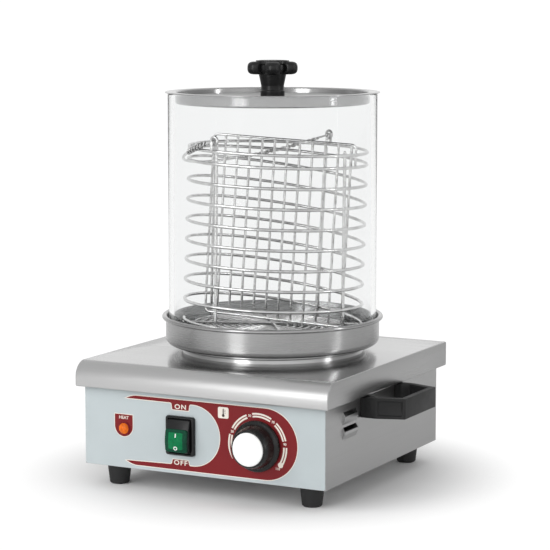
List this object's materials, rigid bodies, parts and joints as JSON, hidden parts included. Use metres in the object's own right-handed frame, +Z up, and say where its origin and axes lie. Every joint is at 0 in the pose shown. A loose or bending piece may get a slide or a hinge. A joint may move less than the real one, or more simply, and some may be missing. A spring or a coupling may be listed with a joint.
{
  "type": "hot dog steamer",
  "caption": "Countertop hot dog steamer: square heated base with dial and switch, round pan, clear glass cylinder with knobbed lid, and a wire basket with a divider inside.",
  "frame": {"origin": "On the bench under the middle of the bounding box.", "axes": "+Z up, front panel faces -Y, +X to the right when seen from the front."},
  "size_m": [0.334, 0.2916, 0.397],
  "materials": {
    "housing_steel": "brushed stainless sheet",
    "pan_steel": "bright stainless, lightly brushed round",
    "overlay_print": "printed foil, light blue-grey with a dark red band",
    "glass_tube": "clear",
    "wire_steel": "bright drawn wire",
    "tie_steel": "thin twisted wire",
    "black_grip": "satin black moulding",
    "black_control": "black moulding",
    "cap_silver": "bright white-silver disc",
    "lens_green": "translucent green",
    "lens_amber": "translucent amber",
    "foot_rubber": "matt black",
    "fixing_steel": "plain zinc or stainless fixings",
    "brass_parts": "plain brass",
    "copper_parts": "copper",
    "spreader": "cast plate",
    "heater_sheath": "oxidised sheath",
    "block_plastic": "cream moulding",
    "lead_plastic": "heat-proof insulation"
  },
  "bodies": {
    "housing": {"back_panel": "housing_steel", "body_shell": "housing_steel", "bottom_plate": "housing_steel", "cable_gland": "black_control", "casing_screws": "fixing_steel", "earth_stud": "brass_parts", "foot_front_left": "foot_rubber", "foot_front_right": "foot_rubber", "foot_rear_left": "foot_rubber", "foot_rear_right": "foot_rubber", "foot_screws": "fixing_steel", "front_overlay": "overlay_print", "gland_locknut": "black_control", "gland_nut": "black_control", "handle_left": "black_grip", "handle_right": "black_grip", "handle_screws": "fixing_steel", "heat_spreader": "spreader", "heater_clamp": "fixing_steel", "heating_element": "heater_sheath", "lamp_holder": "fixing_steel", "lamp_lens": "lens_amber", "rocker_pin": "fixing_steel", "switch_bezel": "black_control", "switch_body": "black_control", "tank_probe": "copper_parts", "terminal_block": "block_plastic", "thermostat_body": "fixing_steel", "top_plate": "housing_steel", "water_tank": "pan_steel", "wiring": "lead_plastic"},
    "rocker": {"switch_rocker": "black_control", "switch_lens": "lens_green"},
    "dial": {"thermostat_knob": "black_control", "knob_cap": "cap_silver", "thermostat_shaft": "fixing_steel"},
    "pan": {"steam_pan": "pan_steel"},
    "glass": {"glass_cylinder": "glass_tube"},
    "lid": {"lid_cover": "pan_steel", "lid_knob": "black_grip", "lid_screw": "fixing_steel"},
    "basket": {"basket_coil": "wire_steel", "basket_top_ring": "wire_steel", "basket_uprights": "wire_steel", "divider_frame": "wire_steel", "divider_rods": "wire_steel", "basket_floor": "wire_steel", "floor_bars": "wire_steel"},
    "bail": {"bail_handle": "wire_steel", "bail_tails": "tie_steel"}
  },
  "joints": [
    {"name": "pan_lift", "type": "slide", "parent": "housing", "child": "pan", "axis": [0, 0, 1], "range_m": [0, 0.15]},
    {"name": "glass_lift", "type": "slide", "parent": "pan", "child": "glass", "axis": [0, 0, 1], "range_m": [0, 0.3]},
    {"name": "lid_lift", "type": "slide", "parent": "glass", "child": "lid", "axis": [0, 0, 1], "range_m": [0, 0.3]},
    {"name": "basket_lift", "type": "slide", "parent": "pan", "child": "basket", "axis": [0, 0, 1], "range_m": [0, 0.18]},
    {"name": "bail_swing", "type": "hinge", "parent": "basket", "child": "bail", "pos_m": [-0.00072, 0.01797, 0.32226], "axis": [0.2172, 0.9759, -0.0213], "range_deg": [0, 109]},
    {"name": "rocker_tilt", "type": "hinge", "parent": "housing", "child": "rocker", "pos_m": [-0.0218, -0.126, 0.0567], "axis": [1, 0, 0], "range_deg": [0, 16]},
    {"name": "dial_turn", "type": "hinge", "parent": "housing", "child": "dial", "pos_m": [0.0577, -0.126, 0.055], "axis": [0, 1, 0], "range_deg": [0, 255]}
  ],
  "couplings": [
    {"joint": "basket_lift", "follows": "lid_lift", "ratio": 0.6},
    {"joint": "bail_swing", "follows": "lid_lift", "rad_per_m": 6.3414}
  ]
}
